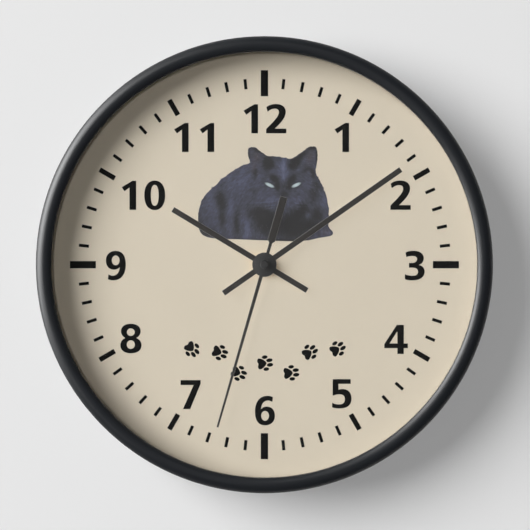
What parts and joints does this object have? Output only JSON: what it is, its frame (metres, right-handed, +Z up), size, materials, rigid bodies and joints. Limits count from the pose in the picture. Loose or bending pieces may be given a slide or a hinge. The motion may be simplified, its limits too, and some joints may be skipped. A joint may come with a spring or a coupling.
{
  "type": "round quartz wall clock",
  "caption": "Round wall clock with a black wooden ring, flat lens, cream numeral dial printed with a lying black cat, three hands and a rear battery movement with a keyhole hanger.",
  "frame": {"origin": "centre of the keyhole's round end, on the wall plane behind the clock", "axes": "+Y points through the keyhole into the wall, so the dial faces -Y; +Z is up, towards twelve"},
  "size_m": [0.254, 0.044, 0.254],
  "materials": {
    "ring_paint": "satin black paint over turned wood",
    "lens": "clear flat acrylic sheet",
    "spacer": "grey card band",
    "dial": "cream printed card, slightly warm",
    "ink": "flat black printing ink",
    "cat_ink": "printed picture of a black cat with pale eyes",
    "board": "plain fibreboard",
    "zinc_steel": "zinc plated sheet steel",
    "gasket": "matt black rubber",
    "brass": "turned brass",
    "case_plastic": "black moulded plastic with a fine grain",
    "train_plastic": "off-white moulded plastic",
    "gear_plastic": "natural acetal",
    "circuit_board": "green solder mask",
    "crystal_can": "bright drawn can",
    "chip_epoxy": "black epoxy dome",
    "copper": "enamelled copper wire",
    "core_steel": "annealed soft iron sheet",
    "magnet": "dark sintered magnet",
    "contact_metal": "plated phosphor bronze",
    "battery_sleeve": "printed plastic sleeve over the can",
    "battery_metal": "nickel plated steel",
    "hand_metal": "satin black painted aluminium",
    "cap_metal": "satin black cap with a knob"
  },
  "bodies": {
    "clock": {"frame_ring": "ring_paint", "lens": "lens", "spacer_ring": "spacer", "dial": "dial", "hour_numerals": "ink", "minute_marks": "ink", "cat_print": "cat_ink", "paw_prints": "ink", "backing_board": "board", "retaining_clips": "zinc_steel", "clip_screws": "zinc_steel", "hanger_bracket": "zinc_steel", "rubber_gasket": "gasket", "threaded_bush": "brass", "brass_washer": "brass", "hex_nut": "brass", "movement_case": "case_plastic", "movement_cover": "case_plastic", "middle_plate": "train_plastic", "train_bridge": "train_plastic", "bridge_screws": "zinc_steel", "circuit_board": "circuit_board", "quartz_crystal": "crystal_can", "driver_chip": "chip_epoxy", "coil_bobbin": "train_plastic", "coil_winding": "copper", "coil_core": "core_steel", "coil_screws": "zinc_steel", "stator_plate": "core_steel", "positive_contact": "contact_metal", "negative_contact": "contact_metal"},
    "second": {"seconds_wheel": "gear_plastic", "second_hand": "hand_metal", "hub_cap": "cap_metal"},
    "rotor": {"rotor_magnet": "magnet", "rotor_pinion": "gear_plastic"},
    "fifth": {"fifth_wheel": "gear_plastic"},
    "third": {"third_wheel": "gear_plastic"},
    "centre": {"centre_wheel": "gear_plastic"},
    "minute": {"minute_tube": "gear_plastic", "clutch_washer": "zinc_steel", "minute_hand": "hand_metal"},
    "motion": {"motion_wheel": "gear_plastic"},
    "hour": {"hour_wheel": "gear_plastic", "hour_hand": "hand_metal"},
    "knob": {"setting_knob": "case_plastic"},
    "battery": {"battery_can": "battery_sleeve", "battery_terminals": "battery_metal"}
  },
  "joints": [
    {"name": "second_hand_spin", "type": "hinge", "parent": "clock", "child": "second", "pos_m": [0, 0, -0.04], "axis": [0, 1, 0], "continuous": true},
    {"name": "rotor_spin", "type": "hinge", "parent": "clock", "child": "rotor", "pos_m": [-0.00088, 0, -0.02339], "axis": [0, 1, 0], "continuous": true},
    {"name": "fifth_wheel_spin", "type": "hinge", "parent": "clock", "child": "fifth", "pos_m": [0.00034, 0, -0.03029], "axis": [0, 1, 0], "continuous": true},
    {"name": "third_wheel_spin", "type": "hinge", "parent": "clock", "child": "third", "pos_m": [-0.00883, 0, -0.0349], "axis": [0, 1, 0], "continuous": true},
    {"name": "centre_wheel_spin", "type": "hinge", "parent": "clock", "child": "centre", "pos_m": [0, 0, -0.04], "axis": [0, 1, 0], "continuous": true},
    {"name": "minute_hand_spin", "type": "hinge", "parent": "clock", "child": "minute", "pos_m": [0, 0, -0.04], "axis": [0, 1, 0], "continuous": true},
    {"name": "motion_wheel_spin", "type": "hinge", "parent": "clock", "child": "motion", "pos_m": [0.01, 0, -0.04], "axis": [0, 1, 0], "continuous": true},
    {"name": "hour_hand_spin", "type": "hinge", "parent": "clock", "child": "hour", "pos_m": [0, 0, -0.04], "axis": [0, 1, 0], "continuous": true},
    {"name": "setting_knob_spin", "type": "hinge", "parent": "clock", "child": "knob", "pos_m": [0.015, 0, -0.03134], "axis": [0, 1, 0], "continuous": true},
    {"name": "battery_slide", "type": "slide", "parent": "clock", "child": "battery", "axis": [0, 1, 0], "range_m": [0, 0.03]}
  ],
  "couplings": [
    {"joint": "fifth_wheel_spin", "follows": "second_hand_spin", "ratio": -5},
    {"joint": "rotor_spin", "follows": "second_hand_spin", "ratio": 30},
    {"joint": "third_wheel_spin", "follows": "second_hand_spin", "ratio": -0.13333},
    {"joint": "centre_wheel_spin", "follows": "second_hand_spin", "ratio": 0.016667},
    {"joint": "motion_wheel_spin", "follows": "minute_hand_spin", "ratio": -0.33333},
    {"joint": "hour_hand_spin", "follows": "minute_hand_spin", "ratio": 0.083333},
    {"joint": "setting_knob_spin", "follows": "minute_hand_spin", "ratio": 1}
  ]
}
